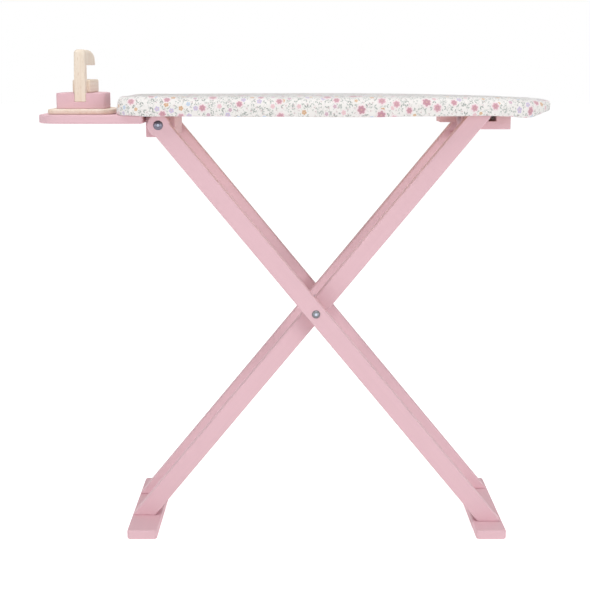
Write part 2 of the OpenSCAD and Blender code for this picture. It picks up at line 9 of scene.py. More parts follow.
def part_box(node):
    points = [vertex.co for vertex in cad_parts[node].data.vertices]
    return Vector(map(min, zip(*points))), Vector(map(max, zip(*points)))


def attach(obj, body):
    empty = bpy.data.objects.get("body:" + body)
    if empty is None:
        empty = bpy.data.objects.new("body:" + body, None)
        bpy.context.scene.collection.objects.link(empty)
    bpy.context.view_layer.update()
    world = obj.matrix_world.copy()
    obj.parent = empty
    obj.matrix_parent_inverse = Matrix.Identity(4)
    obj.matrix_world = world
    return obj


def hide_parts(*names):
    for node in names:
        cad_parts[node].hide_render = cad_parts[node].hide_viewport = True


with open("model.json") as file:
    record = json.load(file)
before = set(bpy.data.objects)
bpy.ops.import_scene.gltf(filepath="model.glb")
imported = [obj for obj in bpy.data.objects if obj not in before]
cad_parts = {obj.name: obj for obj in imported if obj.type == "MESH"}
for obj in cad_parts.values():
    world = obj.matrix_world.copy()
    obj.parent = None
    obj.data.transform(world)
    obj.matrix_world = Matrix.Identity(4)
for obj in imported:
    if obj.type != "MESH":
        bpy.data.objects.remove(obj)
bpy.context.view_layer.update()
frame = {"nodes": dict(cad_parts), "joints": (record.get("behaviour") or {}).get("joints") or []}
nodes = frame["nodes"]
joints = {joint["name"]: joint for joint in frame["joints"]}
scene = bpy.context.scene
scene.view_settings.view_transform = "Standard"
mm = 0.001
print("frame loaded,", len(nodes), "nodes")


# camera, floor and light
viewPoint = {"place": (-0.0043, -1.7811, 0.6189), "tilt": 80.13, "lens": 80.18, "sensor": 36, "clip": 60}
bpy.ops.object.camera_add(location=viewPoint["place"], rotation=(math.radians(viewPoint["tilt"]), 0, 0))
camera = bpy.context.object
camera.data.lens = viewPoint["lens"]
camera.data.sensor_width = viewPoint["sensor"]
camera.data.clip_end = viewPoint["clip"]
scene.camera = camera

studio = {
    "floorSize": 40, "floorShade": 0.86, "floorGlow": 0.22, "floorLift": 0.62,
    "ambient": 0.27, "backdrop": 1.0,
    "lamps": (((2.6, -2.7, 0.85), (0.0, 0.0, 0.35), 1.6, 38),  # place, aim, width and power
              ((-3.1, -2.0, 0.85), (0.0, 0.0, 0.35), 1.6, 28),
              ((0.0, -0.6, 3.2), (0.0, 0.0, 0.3), 3.0, 63)),
}


def send(tree, inputs, values):  # an output is linked, anything else is set
    for label, value in values.items():
        if isinstance(value, bpy.types.NodeSocket):
            tree.links.new(value, inputs[label])
        else:
            inputs[label].default_value = value


def addNode(tree, kind, values, **settings):
    node = tree.nodes.new("ShaderNode" + kind)
    for name, value in settings.items():
        setattr(node, name, value)
    send(tree, node.inputs, values)
    return node


def mathsIn(tree):  # makes the Math nodes of one tree
    def calc(operation, *values, clamp=False):
        node = addNode(tree, "Math", dict(enumerate(values)), operation=operation, use_clamp=clamp)
        return node.outputs[0]
    return calc


def seenDirectly(tree, seen, other):  # one level for camera, mirror and glass rays, another for all else
    calc = mathsIn(tree)
    path = addNode(tree, "LightPath", {}).outputs
    some = calc("MAXIMUM", path["Is Camera Ray"], path["Is Glossy Ray"])
    return calc("MULTIPLY_ADD", calc("MAXIMUM", some, path["Is Transmission Ray"]), seen - other, other)


world = bpy.data.worlds.new("studioWorld")
scene.world = world
world.use_nodes = True
tree = world.node_tree
level = seenDirectly(tree, studio["backdrop"], studio["ambient"])
send(tree, tree.nodes["Background"].inputs, {"Color": (1, 1, 1, 1), "Strength": level})

bpy.ops.mesh.primitive_plane_add(size=studio["floorSize"])
floor = bpy.context.object
floor.name = "studioFloor"
floorPaint = bpy.data.materials.new("studioFloorPaint")
floorPaint.use_nodes = True
tree = floorPaint.node_tree
tree.nodes.clear()
level = seenDirectly(tree, studio["floorGlow"] + studio["floorLift"], studio["floorGlow"])
ground = addNode(tree, "BsdfDiffuse", {"Color": (studio["floorShade"],) * 3 + (1,)})
glow = addNode(tree, "Emission", {"Strength": level})
both = addNode(tree, "AddShader", {0: ground.outputs[0], 1: glow.outputs[0]})
addNode(tree, "OutputMaterial", {"Surface": both.outputs[0]})
floor.data.materials.append(floorPaint)

for place, target, wide, power in studio["lamps"]:
    bpy.ops.object.light_add(type="AREA", location=place)
    lamp = bpy.context.object
    lamp.data.size = wide
    lamp.data.energy = power
    lamp.rotation_euler = (Vector(target) - Vector(place)).to_track_quat("-Z", "Y").to_euler()
print("camera, floor and light set")


# finishes
def tint(*levels):  # screen colour to the linear one that sockets take
    shares = [level / 255 for level in levels]
    return tuple(s / 12.92 if s < 0.0404 else ((s + 0.055) / 1.055) ** 2.4 for s in shares) + (1,)


def newGroup(name, inputs, outputs):
    group = bpy.data.node_groups.new(name, "ShaderNodeTree")
    for label in inputs:
        kind = "NodeSocketVector" if label == "Vector" else "NodeSocketFloat"
        group.interface.new_socket(label, in_out="INPUT", socket_type=kind)
    for label in outputs:
        group.interface.new_socket(label, in_out="OUTPUT", socket_type="NodeSocketFloat")
    return group, group.nodes.new("NodeGroupInput").outputs, group.nodes.new("NodeGroupOutput").inputs


def noiseField(tree, vector, stretch, detail=3.0, roughness=0.5):
    turn = addNode(tree, "Mapping", {"Scale": stretch, "Vector": vector})
    field = addNode(tree, "TexNoise", {"Scale": 1, "Detail": detail, "Roughness": roughness,
                                       "Vector": turn.outputs[0]})
    return field.outputs["Fac"]


def makePaintGroup():  # grain that shows faintly through satin paint; the grain runs along x
    group, given, made = newGroup("paintedGrain", ("Vector", "Grain", "Mottle"),
                                  ("Shade", "Roughness", "Height"))
    calc = mathsIn(group)
    streaks = noiseField(group, given["Vector"], (9, 420, 420), 4, 0.6)
    clouds = noiseField(group, given["Vector"], (14, 30, 30), 2)
    orange = noiseField(group, given["Vector"], (900, 900, 900), 1)
    a = calc("MULTIPLY", calc("SUBTRACT", streaks, 0.5), given["Grain"])
    b = calc("MULTIPLY", calc("SUBTRACT", clouds, 0.5), given["Mottle"])
    send(group, made, {"Shade": calc("ADD", calc("ADD", a, b), 1.0),
                       "Roughness": calc("MULTIPLY_ADD", clouds, 0.16, 0.44),
                       "Height": calc("MULTIPLY_ADD", orange, 0.35, streaks)})
    return group


def makeWoodGroup():  # growth lines, fine fibre and short pores along x
    group, given, made = newGroup("bareGrain", ("Vector",), ("Lines", "Pores", "Height"))
    calc = mathsIn(group)
    broad = noiseField(group, given["Vector"], (5, 150, 150), 3, 0.55)
    fibre = noiseField(group, given["Vector"], (12, 1100, 1100), 3, 0.6)
    flecks = noiseField(group, given["Vector"], (160, 1500, 1500), 1)
    lines = calc("ADD", calc("MULTIPLY", broad, 0.7), calc("MULTIPLY", fibre, 0.3))
    pores = calc("MULTIPLY", calc("SUBTRACT", flecks, 0.62), 9, clamp=True)
    send(group, made, {"Lines": calc("MULTIPLY_ADD", calc("SUBTRACT", lines, 0.5), 2.6, 0.5, clamp=True),
                       "Pores": pores,
                       "Height": calc("SUBTRACT", fibre, calc("MULTIPLY", pores, 0.5))})
    return group


paintGroup = makePaintGroup()
woodGroup = makeWoodGroup()


def newFinish(name):
    finish = bpy.data.materials.new(name)
    finish.use_nodes = True
    return finish, finish.node_tree, finish.node_tree.nodes["Principled BSDF"].inputs


def mapped(tree, vector, shift=(0, 0, 0), turn=(0, 0, 0)):
    turn = [math.radians(a) for a in turn]
    return addNode(tree, "Mapping", {"Location": shift, "Rotation": turn, "Vector": vector}).outputs[0]


def placed(tree, turn=(0, 0, 0)):  # object coordinates, turned so that the grain lies along x
    return mapped(tree, addNode(tree, "TexCoord", {}).outputs["Object"], turn=turn)


def useGroup(tree, group, vector, **values):
    return addNode(tree, "Group", {"Vector": vector, **values}, node_tree=group).outputs


def mixColour(tree, factor, a, b, blend="MIX"):
    return addNode(tree, "Mix", {0: factor, 6: a, 7: b}, data_type="RGBA", blend_type=blend).outputs[2]


def coat(tree, shader, v, colour, roughness, height):  # what all finishes share
    bump = addNode(tree, "Bump", {"Strength": v["bump"], "Distance": v["bumpDeep"], "Height": height})
    send(tree, shader, {"Base Color": colour, "Roughness": roughness, "Specular IOR Level": v["gloss"],
                        "Normal": bump.outputs["Normal"]})


paintValues = {"colour": tint(230, 192, 200), "grain": 0.06, "mottle": 0.05, "gloss": 0.12, "bump": 0.06,
               "bumpDeep": 0.2 * mm}


def paintFinish(name, turn):
    v = paintValues
    finish, tree, shader = newFinish(name)
    grain = useGroup(tree, paintGroup, placed(tree, turn), Grain=v["grain"], Mottle=v["mottle"])
    shaded = mixColour(tree, 1.0, v["colour"], grain["Shade"], "MULTIPLY")
    coat(tree, shader, v, shaded, grain["Roughness"], grain["Height"])
    return finish


woodValues = {"light": tint(246, 235, 221), "dark": tint(231, 213, 192), "pore": tint(206, 180, 152),
              "poreShade": 0.5, "gloss": 0.3, "bump": 0.15, "bumpDeep": 0.25 * mm}
plyValues = {**woodValues, "light": tint(226, 204, 168), "dark": tint(205, 176, 134),
             "pore": tint(160, 124, 84)}


def woodFinish(name, turn, v=woodValues):
    finish, tree, shader = newFinish(name)
    calc = mathsIn(tree)
    grain = useGroup(tree, woodGroup, placed(tree, turn))
    plain = mixColour(tree, grain["Lines"], v["light"], v["dark"])
    pores = calc("MULTIPLY", grain["Pores"], v["poreShade"])
    coat(tree, shader, v, mixColour(tree, pores, plain, v["pore"]),
         calc("MULTIPLY_ADD", grain["Lines"], 0.12, 0.5), grain["Height"])
    return finish


metalValues = {"haze": 700, "spots": 90, "gloss": 0.5, "bump": 0.08, "bumpDeep": 0.05 * mm}


def metalFinish(name, colour, roughness):
    v = metalValues
    finish, tree, shader = newFinish(name)
    calc = mathsIn(tree)
    vector = placed(tree)
    haze = noiseField(tree, vector, (v["haze"],) * 3, 3)
    shade = calc("MULTIPLY_ADD", noiseField(tree, vector, (v["spots"],) * 3, 2), 0.3, 0.85)
    send(tree, shader, {"Metallic": 1})
    coat(tree, shader, v, mixColour(tree, 1.0, colour, shade, "MULTIPLY"),
         calc("MULTIPLY_ADD", haze, 0.2, roughness - 0.1), haze)
    return finish


hingeAt = Vector(joints["leg_fold"]["pos_m"])
crossAt = Vector(joints["leg_scissor"]["pos_m"])
innerTop = Vector((2 * crossAt.x - hingeAt.x, 0, hingeAt.z))
legLean = math.degrees(math.atan2(hingeAt.z - crossAt.z, crossAt.x - hingeAt.x))
paintOuter = paintFinish("pinkPaintOuterLegs", (0, -legLean, 0))
paintInner = paintFinish("pinkPaintInnerLegs", (0, legLean, 0))
paintAcross = paintFinish("pinkPaintAcross", (0, 0, -90))
woodAcross = woodFinish("bareWoodAcross", (0, 0, -90))
woodUpright = woodFinish("bareWoodUpright", (0, 90, 0))
plywood = woodFinish("plywoodFace", (0, 0, 0), plyValues)
darkSteel = metalFinish("darkPlatedSteel", tint(108, 106, 118), 0.36)
greySteel = metalFinish("greyPlatedSteel", tint(116, 117, 121), 0.36)
brightSteel = metalFinish("zincPlatedSteel", tint(190, 192, 198), 0.32)
# painted highlight: a lighter, bluish steel that stands for the bright reflection in the middle of each
# bolt head
paintedHighlightSteel = metalFinish("paintedHighlightSteel", tint(184, 190, 206), 0.3)
brass = metalFinish("plainBrass", tint(212, 180, 120), 0.35)
print("finishes ready")


# modelling tools
acrossTurn = (math.radians(90), 0, 0)
weld = 0.01 * mm
edgeAngle = 38  # degrees: an edge this sharp is eased
shadeAngle = 40  # and one this sharp shows as an edge
flatAngle = 0.05


def deselectAll():
    if bpy.context.object and bpy.context.object.mode != "OBJECT":
        bpy.ops.object.mode_set(mode="OBJECT")
    bpy.ops.object.select_all(action="DESELECT")


def pickOnly(piece):
    deselectAll()
    piece.select_set(True)
    bpy.context.view_layer.objects.active = piece


def edit(piece):  # edit mode with all of it picked
    pickOnly(piece)
    bpy.ops.object.mode_set(mode="EDIT")
    bpy.ops.mesh.select_all(action="SELECT")


def leaveEdit():
    bpy.ops.object.mode_set(mode="OBJECT")


def settle(piece):  # its place goes into its mesh
    pickOnly(piece)
    bpy.ops.object.transform_apply(location=True, rotation=True, scale=True)


def addBlock(name, low, high, turn=(0, 0, 0), middle=None):
    deselectAll()
    low, high = Vector(low), Vector(high)
    place = Vector(middle) if middle else (low + high) / 2
    bpy.ops.mesh.primitive_cube_add(size=1, location=place, rotation=turn)
    block = bpy.context.object
    block.name = block.data.name = name
    block.scale = high - low
    bpy.ops.object.transform_apply(location=False, rotation=False, scale=True)
    return block


def addSettled(name, low, high):
    block = addBlock(name, low, high)
    settle(block)
    return block


def addRound(sides, radius, depth, place, turn=(0, 0, 0)):
    deselectAll()
    bpy.ops.mesh.primitive_cylinder_add(vertices=sides, radius=radius, depth=depth, location=place,
                                        rotation=turn)
    return bpy.context.object


def pickEdges(piece, test):  # in edit mode, by the two ends' places in the piece's own frame
    bpy.ops.mesh.select_mode(type="EDGE")
    bpy.ops.mesh.select_all(action="DESELECT")
    shape = bmesh.from_edit_mesh(piece.data)
    for edge in shape.edges:
        edge.select_set(test(edge.verts[0].co, edge.verts[1].co))
    bmesh.update_edit_mesh(piece.data)


def pickFaces(piece, test):
    bpy.ops.mesh.select_mode(type="FACE")
    bpy.ops.mesh.select_all(action="DESELECT")
    shape = bmesh.from_edit_mesh(piece.data)
    shape.normal_update()
    for face in shape.faces:
        face.select_set(test(face))
    bmesh.update_edit_mesh(piece.data)


def drawOut(way, scale=(1, 1, 1), centre=(0, 0, 0)):  # the picked faces move on, then change in size
    bpy.ops.mesh.extrude_region_move(TRANSFORM_OT_translate={"value": way})
    if scale != (1, 1, 1):
        bpy.ops.transform.resize(value=scale, center_override=centre)


def roundEdges(piece, test, radius, segments):
    edit(piece)
    pickEdges(piece, test)
    bpy.ops.mesh.bevel(offset=radius, segments=segments, profile=0.5, affect="EDGES", clamp_overlap=False)
    bpy.ops.mesh.select_all(action="SELECT")
    bpy.ops.mesh.remove_doubles(threshold=weld)
    leaveEdit()


def addModifier(piece, kind, **settings):  # made and applied at once
    modifier = piece.modifiers.new(kind.lower(), kind)
    for name, value in settings.items():
        setattr(modifier, name, value)
    pickOnly(piece)
    bpy.ops.object.modifier_apply(modifier=modifier.name)


def cutAway(piece, cutter, operation="DIFFERENCE"):
    addModifier(piece, "BOOLEAN", operation=operation, solver="EXACT", object=cutter)
    bpy.data.objects.remove(cutter, do_unlink=True)


def drill(piece, at, turn, radius, depth, sides=40):
    cutAway(piece, addRound(sides, radius, depth, at, turn))


def bevelEdges(piece, width, segments=3, angle=edgeAngle):
    addModifier(piece, "BEVEL", width=width, segments=segments, limit_method="ANGLE",
                angle_limit=math.radians(angle), use_clamp_overlap=False)


def shadeEven(piece):
    pickOnly(piece)
    bpy.ops.object.shade_smooth_by_angle(angle=math.radians(shadeAngle))
    addModifier(piece, "WEIGHTED_NORMAL", keep_sharp=True)


def easeEdges(piece, width, segments=3, angle=edgeAngle):
    bevelEdges(piece, width, segments, angle)
    shadeEven(piece)


def mergeFlat(piece):  # coplanar faces become one
    edit(piece)
    bpy.ops.mesh.remove_doubles(threshold=weld)
    bpy.ops.mesh.dissolve_limited(angle_limit=math.radians(flatAngle))
    leaveEdit()


def dress(piece, finish, body, slot, *stoodFor):
    piece.data.materials.clear()
    piece.data.materials.append(finish)
    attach(piece, body)
    if stoodFor:
        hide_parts(*stoodFor)


# folding legs, cut level on the foot: the outer ones end round at the hinge, the inner ones level
legValues = {"width": 24 * mm, "ease": 1.5 * mm, "hole": 3.05 * mm, "holeDeep": 60 * mm, "head": 14.5 * mm,
             "headSides": 72, "runOn": 40 * mm}
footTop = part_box("outer_foot")[1].z


def cutLevel(height, above):  # in edit mode: what lies above the height goes, or what lies below it
    bpy.ops.mesh.select_all(action="SELECT")
    bpy.ops.mesh.bisect(plane_co=(0, 0, height), plane_no=(0, 0, 1), use_fill=True, clear_inner=not above,
                        clear_outer=above)


def makeLeg(name, top, lean, pins, finish, body, roundHead):
    v = legValues
    low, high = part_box(name)
    before = 0 if roundHead else v["runOn"]
    length = (top.z - footTop) / math.sin(lean) + v["width"] + before
    along = Vector((math.cos(lean), 0, -math.sin(lean)))
    deep = (low.y + high.y) / 2
    head = Vector((top.x, deep, top.z))
    size = Vector((length, high.y - low.y, v["width"]))
    leg = addBlock(name + "_wood", -size / 2, size / 2, (0, lean, 0), head + along * (length / 2 - before))
    settle(leg)
    edit(leg)
    cutLevel(footTop, False)
    if not roundHead:
        cutLevel(top.z + v["width"] / 2, True)
    leaveEdit()
    if roundHead:
        cutAway(leg, addRound(v["headSides"], v["head"], size.y, head, acrossTurn), "UNION")
    mergeFlat(leg)
    bevelEdges(leg, v["ease"])
    for pin in pins:
        drill(leg, (pin.x, deep, pin.z), acrossTurn, v["hole"], v["holeDeep"])
    shadeEven(leg)
    dress(leg, finish, body, "pink_paint", name)


for side in ("front", "back"):
    makeLeg("outer_leg_" + side, hingeAt, math.radians(legLean), (hingeAt, crossAt), paintOuter,
            "outer_frame", True)
    makeLeg("inner_leg_" + side, innerTop, math.radians(180 - legLean), (crossAt,), paintInner,
            "inner_frame", False)
print("legs made")


# foot bars
footValues = {"corner": 5 * mm, "cornerSteps": 6, "ease": 2.0 * mm}
sinkValues = {"deep": 2.3 * mm, "radius": 4.3 * mm, "tip": 2.1 * mm, "sides": 32, "over": 0.05 * mm,
              "near": 0.2 * mm, "apart": 12 * mm}


def sinkScrews(piece, screws, level):  # countersinks under the heads of a row of wood screws
    v = sinkValues
    spots = {}
    for point in nodes[screws].data.vertices:
        x, y, z = point.co
        if abs(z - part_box(screws)[0].z) < v["near"]:
            spots.setdefault((round(x / v["apart"]), round(y / v["apart"])), []).append((x, y))
    for found in spots.values():
        x, y = ((min(side) + max(side)) / 2 for side in zip(*found))
        deselectAll()
        bpy.ops.mesh.primitive_cone_add(vertices=v["sides"], radius1=v["radius"], radius2=v["tip"],
                                        depth=v["deep"] + 2 * v["over"],
                                        location=(x, y, level + v["deep"] / 2 - v["over"]))
        cutAway(piece, bpy.context.object)


def upright(a, b):
    return abs(a.x - b.x) < 1e-6 and abs(a.y - b.y) < 1e-6


for name, body in (("outer_foot", "outer_frame"), ("inner_foot", "inner_frame")):
    foot = addBlock(name + "_bar", *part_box(name))
    roundEdges(foot, upright, footValues["corner"], footValues["cornerSteps"])
    settle(foot)
    easeEdges(foot, footValues["ease"])
    sinkScrews(foot, name + "_screws", 0)
    dress(foot, paintAcross, body, "pink_paint", name)
print("feet made")


# hinge block, batten, hook and rung under the board
blockValues = {"ease": 1.2 * mm, "insert": 5.05 * mm, "insertDeep": 28 * mm}
low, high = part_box("hinge_block")
block = addSettled("hinge_block_wood", low, high)
for y in (-high.y, high.y):
    drill(block, (hingeAt.x, y, hingeAt.z), acrossTurn, blockValues["insert"], blockValues["insertDeep"])
easeEdges(block, blockValues["ease"])
dress(block, paintAcross, "board", "pink_paint", "hinge_block")

catchValues = {"ease": 1.0 * mm, "slotLong": 10 * mm, "slotHigh": 12.2 * mm, "slotStep": 29.2 * mm,
               "spread": 9 * mm, "reach": 5 * mm, "over": 5 * mm}
low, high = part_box("catch_batten")
high.x += catchValues["reach"]
batten = addSettled("catch_batten_wood", low, high)
easeEdges(batten, catchValues["ease"])
dress(batten, paintAcross, "board", "pink_paint", "catch_batten")

low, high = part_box("catch_hook")
low.y -= catchValues["spread"]
high.y += catchValues["spread"]
hook = addSettled("catch_hook_wood", low, high)
half, over = catchValues["slotLong"] / 2, catchValues["over"]
for slotX in (innerTop.x, innerTop.x + catchValues["slotStep"]):
    cutAway(hook, addSettled("slotCutter", (slotX - half, low.y - over, high.z - catchValues["slotHigh"]),
                             (slotX + half, high.y + over, high.z + over)))
easeEdges(hook, catchValues["ease"])
dress(hook, paintAcross, "board", "pink_paint", "catch_hook")

rungValues = {"sides": 48, "ease": 0.8 * mm}
low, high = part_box("inner_rung")
rung = addRound(rungValues["sides"], (high.z - low.z) / 2, high.y - low.y, (low + high) / 2, acrossTurn)
rung.name = rung.data.name = "inner_rung_wood"
settle(rung)
easeEdges(rung, rungValues["ease"])
dress(rung, paintAcross, "inner_frame", "pink_paint", "inner_rung")
print("hinge block and catch made")


# rest for the iron
restValues = {"reach": 2 * mm, "outer": (40 * mm, 20), "inner": (3 * mm, 6),  # radius and steps
              "ease": 1.8 * mm}
low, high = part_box("iron_rest")
high.x += restValues["reach"]
rest = addBlock("iron_rest_plate", low, high)
roundEdges(rest, lambda a, b: upright(a, b) and a.x < 0, *restValues["outer"])
roundEdges(rest, lambda a, b: upright(a, b) and a.x > 0, *restValues["inner"])
settle(rest)
easeEdges(rest, restValues["ease"])
sinkScrews(rest, "rest_screws", low.z)
dress(rest, paintAcross, "board", "pink_paint", "iron_rest")
print("rest made")


# printed cover: lofted round the board, puffed by cloth simulation, hem drawn in underneath
coverEnd, coverTip = (corner.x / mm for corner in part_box("board_cover"))
coverValues = {  # in millimetres
    "cornerX": coverEnd + 24, "cornerY": 76, "cornerR": 24, "halfWide": 100, "taperX": coverTip - 220,
    "taperLong": 220, "noseX": coverTip - 66, "noseR": 66, "step": 5.0,
    "spineLow": coverEnd + 85, "spineHigh": coverTip - 69,  # the top closes on this line
    "topShares": (0.05, 0.12, 0.2, 0.3, 0.4, 0.5, 0.6, 0.7, 0.8, 0.9, 1.0),
    "sideZ": 568.0, "roundWide": 14.0, "roundEnd": 7.0, "roundHigh": 13.1, "roundSteps": 8, "tipDrop": 5.0,
    "tipEase": 0.5, "endBlunt": 2, "noseBlunt": 4,  # square end, rounder nose
    "crown": 1.35, "crownFall": 2.0, "crownLow": -0.9, "crownMid": 20, "crownLong": 200, "crownIn": 50,
    "hem": ((16, 0, 558.7, 0), (9, 3, 558.7, 0),  # inset, more of it at the tip, height, share of the lift
            (6, 2, 556.5, 1), (3, 2, 556.5, 1)),
    "hemSteps": (3, 3, 2, 3, 3), "sideLow": 559.5, "sideLift": 2.2,
    "endLift": 1.2, "endRamp": 12, "noseLift": 5, "noseRamp": 31, "noseBend": 1.5,
    "loose": 8, "hemWave": 0.7, "waveLong": 38, "waveSeed": (0.3, 7.1),
    "gather": 0.45, "gatherLong": 5.5, "gatherHigh": 30, "gatherSeed": 2.7, "gatherDrop": 0.4,
    "plain": 0.35, "bent": 40,  # how strong the gathers are on straight runs and in bends
    "sags": ((65, 45, 1.3), (298, 22, 3.4), (256, 24, 0.8), (-60, 60, 0.5)),  # where, how long, how deep
    "cloth": 0.8, "start": 0.7, "heldZ": 561.5, "easedZ": 564, "poleR": 12, "moveCap": 1.1, "sinkCap": 0.15,
    "frames": 20,
}
clothValues = {"quality": 6, "mass": 0.15, "tension_stiffness": 18, "compression_stiffness": 18,
               "shear_stiffness": 8, "bending_stiffness": 0.4, "vertex_group_mass": "held",
               "use_pressure": True, "uniform_pressure_force": 4.0, "shrink_min": -0.012}


def within(share):
    return max(0.0, min(1.0, share))


def tipShare(x):
    return within((x - coverValues["taperX"]) / coverValues["taperLong"]) ** 2


def edgePath(step):  # even points round the board with their outward normals, from the tip by the back
    v = coverValues
    swing = math.pi / 2 - math.asin((v["halfWide"] - v["noseR"]) / (v["noseX"] - v["taperX"]))
    slant = Vector((math.cos(swing), math.sin(swing)))
    nose, broad = Vector((v["noseX"], 0)), Vector((v["taperX"], 0))
    side = Vector((0, v["halfWide"]))
    end = v["cornerX"] - v["cornerR"]
    pieces = [("arc", nose, v["noseR"], 0, swing),
              ("line", nose + slant * v["noseR"], broad + slant * v["halfWide"], slant),
              ("arc", broad, v["halfWide"], swing, math.pi / 2),
              ("line", broad + side, Vector((v["cornerX"], 0)) + side, Vector((0, 1))),
              ("arc", Vector((v["cornerX"], v["cornerY"])), v["cornerR"], math.pi / 2, math.pi),
              ("line", Vector((end, v["cornerY"])), Vector((end, 0)), Vector((-1, 0)))]
    lengths = [p[2] * (p[4] - p[3]) if p[0] == "arc" else (p[2] - p[1]).length for p in pieces]
    count = round(sum(lengths) / step)
    half = []
    for k in range(count + 1):
        left = sum(lengths) * k / count
        for p, length in zip(pieces, lengths):
            if left <= length + 1e-9 or p is pieces[-1]:
                break
            left -= length
        if p[0] == "arc":
            angle = p[3] + left / p[2]
            normal = Vector((math.cos(angle), math.sin(angle)))
            half.append((p[1] + normal * p[2], normal, 1 / p[2]))
        else:
            half.append((p[1].lerp(p[2], left / length), p[3], 0.0))
    mirrored = [(Vector((p.x, -p.y)), Vector((n.x, -n.y)), c) for p, n, c in half[-2:0:-1]]
    return half + mirrored, sum(lengths) / count


def smoothLine(points, steps):  # a soft curve through the stations of the hem
    line = []
    for k in range(len(points) - 1):
        a, b = points[max(k - 1, 0)], points[k]
        c, d = points[k + 1], points[min(k + 2, len(points) - 1)]
        for j in range(steps[k]):
            t = j / steps[k]
            line.append(0.5 * (2 * b + (c - a) * t + (2 * a - 5 * b + 4 * c - d) * t * t
                               + (3 * b - a - 3 * c + d) * t ** 3))
    return line + [points[-1]]


def hemLift(x):
    v = coverValues
    atEnd = 1 - within((x - v["cornerX"]) / v["endRamp"])
    atNose = max(0.0, (x - coverTip + v["noseRamp"]) / v["noseRamp"])
    return v["endLift"] * atEnd + v["noseLift"] * atNose ** v["noseBend"]


def coverSection(x, start, wide):  # inset and height from the cut edge under the board up to the top's edge
    v = coverValues
    s, lift = tipShare(x), hemLift(x)
    hem = [Vector((inset + more * s, z + lift * share)) for inset, more, z, share in v["hem"]]
    hem += [Vector((s + start, v["sideLow"] + v["sideLift"] * s)), Vector((start, v["sideZ"]))]
    line = smoothLine(hem, v["hemSteps"])
    for k in range(1, v["roundSteps"] + 1):
        t = math.pi / 2 * k / v["roundSteps"]
        line.append(Vector((wide * (1 - math.cos(t)) + start * math.cos(t),
                            v["sideZ"] + (v["roundHigh"] - v["tipDrop"] * s - start) * math.sin(t))))
    return line


def loftCover(name, section, start):  # a shell of rings that closes on a line along the middle of the top
    v = coverValues
    path, along = edgePath(v["step"])
    points, cut, seam, grid = [], [], [], []
    for i, (p, normal, bend) in enumerate(path):
        run = i * along
        blunt = abs(normal.x) ** v["endBlunt" if normal.x < 0 else "noseBlunt"]
        wide = v["roundWide"] + (v["roundEnd"] - v["roundWide"]) * blunt
        line = section(p.x, start, wide)
        edge = p - normal * wide
        first = len(points)
        reach = [0.0]
        for a, b in zip(line, line[1:]):
            reach.append(reach[-1] + (b - a).length)
        sag = 0.0
        if p.y < 0:
            sag = sum(deep * math.exp(-((p.x - at) / span) ** 2) for at, span, deep in v["sags"])
        for (inset, z), done in zip(line, reach):
            low = within((v["sideZ"] - z) / v["loose"])
            wave = noise.noise(Vector((run / v["waveLong"], *v["waveSeed"]))) * v["hemWave"] * low
            folds = noise.noise(Vector((run / v["gatherLong"], z / v["gatherHigh"], v["gatherSeed"])))
            folds *= v["gather"] * low * (v["plain"] + v["bent"] * bend)
            x, y = p.x - normal.x * (inset - folds), p.y - normal.y * (inset - folds)
            points.append(Vector((x, y, z - wave - sag * low + folds * v["gatherDrop"])) * mm)
            left = reach[-1] - done
            cut.append(Vector((edge.x + normal.x * left, edge.y + normal.y * left)) * mm)
            seam.append(Vector((run, done)) * mm)
        spine = Vector((max(v["spineLow"], min(v["spineHigh"], edge.x)), 0))
        for share in v["topShares"]:
            at = edge.lerp(spine, share)
            inward = (at - edge).length
            fall = v["tipDrop"] * tipShare(at.x) * (1 - v["tipEase"] * share)
            rise = 1 - (1 - min(1.0, inward / v["crownIn"])) ** 2
            crown = v["crown"] - v["crownFall"] * ((at.x - v["crownMid"]) / v["crownLong"]) ** 2
            z = v["sideZ"] + v["roundHigh"] - start - fall + max(v["crownLow"], crown) * rise
            points.append(Vector((at.x, at.y, z)) * mm)
            cut.append(at * mm)
            seam.append(Vector((run, reach[-1] + inward)) * mm)
        grid.append(range(first, len(points)))
    faces = []
    for column, after in zip(grid, grid[1:] + grid[:1]):
        faces.extend(zip(column, after, after[1:], column[1:]))
    shape = bpy.data.meshes.new(name)
    shape.from_pydata([tuple(p) for p in points], [], faces)
    for label, values in (("cut", cut), ("seam", seam)):
        layer = shape.uv_layers.new(name=label)
        for loop in shape.loops:
            layer.data[loop.index].uv = values[loop.vertex_index]
    shell = bpy.data.objects.new(name, shape)
    scene.collection.objects.link(shell)
    edit(shell)
    bpy.ops.mesh.remove_doubles(threshold=2 * weld)
    bpy.ops.mesh.dissolve_degenerate(threshold=0.1 * weld)
    bpy.ops.mesh.normals_make_consistent(inside=False)
    leaveEdit()
    return shell, [cut[column[0]] for column in grid]


cover, cutLine = loftCover("board_cover_cloth", coverSection, coverValues["start"])
print("cover lofted,", len(cover.data.vertices), "points")

held = cover.vertex_groups.new(name="held")
for point in cover.data.vertices:
    x, y, z = point.co / mm
    poles = min(math.hypot(x - coverValues[end], y) for end in ("spineLow", "spineHigh"))
    if z < coverValues["heldZ"] or poles < coverValues["poleR"]:
        held.add([point.index], 1.0, "REPLACE")
    elif z < coverValues["easedZ"]:
        held.add([point.index], 0.5, "REPLACE")

